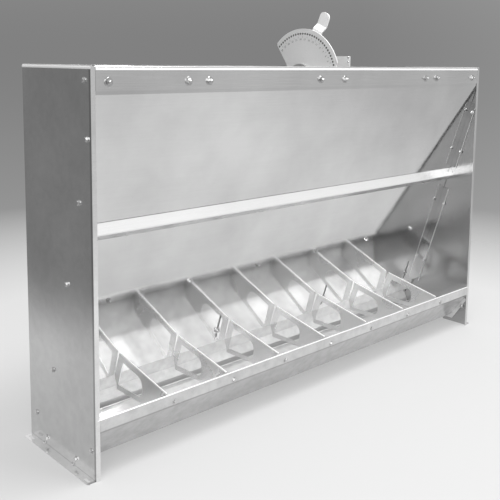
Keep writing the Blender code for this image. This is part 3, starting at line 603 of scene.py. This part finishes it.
def panel_rims():
    """Rounded top bends of the end panels, and round bars on the front edges of the flanges inside
    them, all in light steel that paints highlight lines along these edges.
    """
    eighths = [step * math.pi / 4 for step in range(8)]
    tube = [(FLANGE_EDGE * math.cos(a), FLANGE_EDGE * math.sin(a)) for a in eighths]
    for side, word in ((-1, "left"), (1, "right")):
        ends = [[at(side * (PANEL_X + out), depth, PANEL_TOP + up) for out, up in RIM]
                for depth in RIM_DEPTHS]
        bar(word + "_panel_rim", *ends, HEM_HIGHLIGHT)
        for index, edge in enumerate(FLANGE_FRONTS):
            ends = [[at(side * FLANGE_X + side * u, depth + v, z) for u, v in tube] for depth, z in edge]
            bar("%s_flange_edge_%d" % (word, index + 1), *ends, HEM_HIGHLIGHT)


def divider_edges():
    """Folded bead along the top edge of each divider, in light steel that paints its highlight line."""
    for index in range(1, 8):
        name = "divider_bead_%d" % index
        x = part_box("divider_%d" % index)[0][0] + 0.0008
        start, end = at(x, 0.0072, 0.1440), at(x, 0.2030, 0.1848)
        length = (end - start).length
        shape = bmesh.new()
        turned(shape, 12, ((0.0010, 0.0), (0.0019, 0.0008), (0.0020, 0.0020), (0.0020, length - 0.002),
                           (0.0019, length - 0.0008), (0.0010, length)))
        fitted(name, closed_mesh(shape, name, HEM_HIGHLIGHT), matrix=facing(start, end - start))


def slot_walls():
    """Near-black strips on the side walls of the four gate slots: painted shade."""
    heights, skin, depth = (0.1375, 0.2035), 0.0002, 0.0014
    for index in range(1, 5):
        x = middle_x("gate_bolt_%d" % index)
        bottom, top = (on_sheet(x, z) for z in heights)
        corners = (bottom - SHEET_OUT * skin, top - SHEET_OUT * skin,
                   top - SHEET_OUT * depth, bottom - SHEET_OUT * depth)
        outline = [(corner.y, corner.z) for corner in corners]
        for word, near, far in (("a", 0.0031, 0.0037), ("b", -0.0037, -0.0031)):
            strip("slot_shade_%d%s" % (index, word), outline, x + near, x + far, SHADE_AND_PRINT)


TROUGH_MARGIN = 0.003  # clear of the trough's end flanges


def rear_joint():
    """Dark strip along the foot of the trough's rear slope, just above the fold: painted shade of the
    cavity under the feed gate.
    """
    low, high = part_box("trough_pan")
    fold_depth, fold_height, slope = 0.2543, 0.0255, 0.4578

    def rear(z, off):
        return (fold_depth + (z - fold_height) * slope - off, z)

    outline = depths(rear(0.0285, 0.0014), rear(0.0405, 0.0014), rear(0.0402, 0.0020),
                     rear(0.0290, 0.0020))
    strip("rear_joint", outline, low[0] + TROUGH_MARGIN, high[0] - TROUGH_MARGIN, CAVITY_SHADE)


def lip_bead():
    """Rolled bead along the top of the trough's front lip, in light steel that paints its highlight
    line.
    """
    low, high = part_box("trough_pan")
    depth, height, radius = 0.0012, 0.1409, 0.0017
    twelfths = [step * math.pi / 6 for step in range(12)]
    ring = [(depth + radius * math.cos(a), height + radius * math.sin(a)) for a in twelfths]
    strip("trough_lip_bead", depths(*ring), low[0] + TROUGH_MARGIN, high[0] - TROUGH_MARGIN, HEM_HIGHLIGHT)


def header_hem():
    """Folded drip edge along the header's top, sloping back, in light steel that paints its highlight
    line.
    """
    low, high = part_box("header_rail")
    y, z = low[1], high[2]
    outline = (
        (y - 0.0002, z - 0.0096), (y - 0.0018, z - 0.0090), (y - 0.0020, z - 0.0080),
        (y + 0.0016, z - 0.0010), (y + 0.0026, z - 0.0002), (y + 0.0060, z + 0.0002),
        (y + 0.0060, z - 0.0020), (y + 0.0006, z - 0.0030))
    strip("header_hem", outline, low[0] + 0.0005, high[0] - 0.0005, HEM_HIGHLIGHT)


# ------------------------------------------------------------------ index dial

INDEX_HOLES = 29
HOLE_PITCH = 4.125  # degrees
REST_HOLE, REST_ANGLE = 16, 22.0  # the lever rests over this hole, 22 degrees forward of upright
HOLE_RING, STROKE_RING, FIGURE_RING = 0.130, 0.1205, 0.1135
HOLE_SHADE_CUP = ((0.0030, 0.0), (0.0031, 0.0002), (0.0031, 0.0016), (0.0030, 0.0018))
STROKE_SIZE = (0.0006, 0.0045, 0.0001)
FIGURE_HEIGHT = 0.0075


def punched_mesh():
    """Near-black cup inside a hole, set back from the plate's face: painted shade."""
    shape = bmesh.new()
    turned(shape, 16, HOLE_SHADE_CUP, 0.0002)
    return closed_mesh(shape, "hole_shade", SHADE_AND_PRINT, smooth=False)


def stroke_mesh():
    """Thin printed stroke."""
    shape = bmesh.new()
    bmesh.ops.create_cube(shape, size=1.0, matrix=Matrix.Diagonal((*STROKE_SIZE, 1)))
    return closed_mesh(shape, "stroke", SHADE_AND_PRINT, smooth=False)


def figure_mesh(number):
    """Thin printed number of a plain scale."""
    text = bpy.data.curves.new("figure_%d" % number, "FONT")
    text.body = str(number)
    text.size = FIGURE_HEIGHT
    text.align_x = "CENTER"
    text.align_y = "CENTER"
    text.extrude = 0.00005
    flat = linked("figure", text)
    bpy.context.view_layer.update()
    mesh = bpy.data.meshes.new_from_object(flat.evaluated_get(bpy.context.evaluated_depsgraph_get()))
    bpy.data.objects.remove(flat)
    mesh.materials.clear()
    mesh.materials.append(SHADE_AND_PRINT)
    return mesh


def index_dial():
    """Near-black cups in the holes round the gauge plate as painted shade, with a printed number or
    stroke beside each.
    """
    centre = at(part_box("gauge_sector")[0][0] - 0.0001, SHAFT_DEPTH, SHAFT_HEIGHT)
    hole_shade = punched_mesh()
    for index in range(INDEX_HOLES):
        angle = math.radians(REST_ANGLE + (index - REST_HOLE) * HOLE_PITCH)
        radial = Vector((0, -math.sin(angle), math.cos(angle)))
        right = Vector((0, -math.cos(angle), -math.sin(angle)))
        turn = Matrix((right, radial, Vector((-1, 0, 0)))).transposed().to_4x4()
        hole = facing(centre + radial * HOLE_RING, (1, 0, 0))
        fitted("index_hole_shade_%d" % (index + 1), hole_shade, matrix=hole)
        if index % 2 == 0:
            number = INDEX_HOLES - index
            name, mesh, ring = "dial_figure_%d" % number, figure_mesh(number), FIGURE_RING
        else:
            name, mesh, ring = "dial_stroke_%d" % index, stroke_mesh(), STROKE_RING
        fitted(name, mesh, matrix=Matrix.Translation(centre + radial * ring) @ turn)


camera()
studio_light()
floor()
SCENE.view_settings.view_transform = "Standard"
softbox("key", (0.35, -0.75, 3.3), (0, -0.15, 0.1), (1.6, 1.2), 105)
softbox("fill", (-2.6, -2.6, 2.6), (-0.6, -0.6, 0.0), (2.5, 2.5), 50)
paint_frame()
fit_frame_bolts()
fit_panel_bolts()
fit_sheet_bolts()
fit_gauge_screws()
fit_cheek_screws()
fit_welds()
panel_rims()
divider_edges()
slot_walls()
rear_joint()
lip_bead()
header_hem()
index_dial()
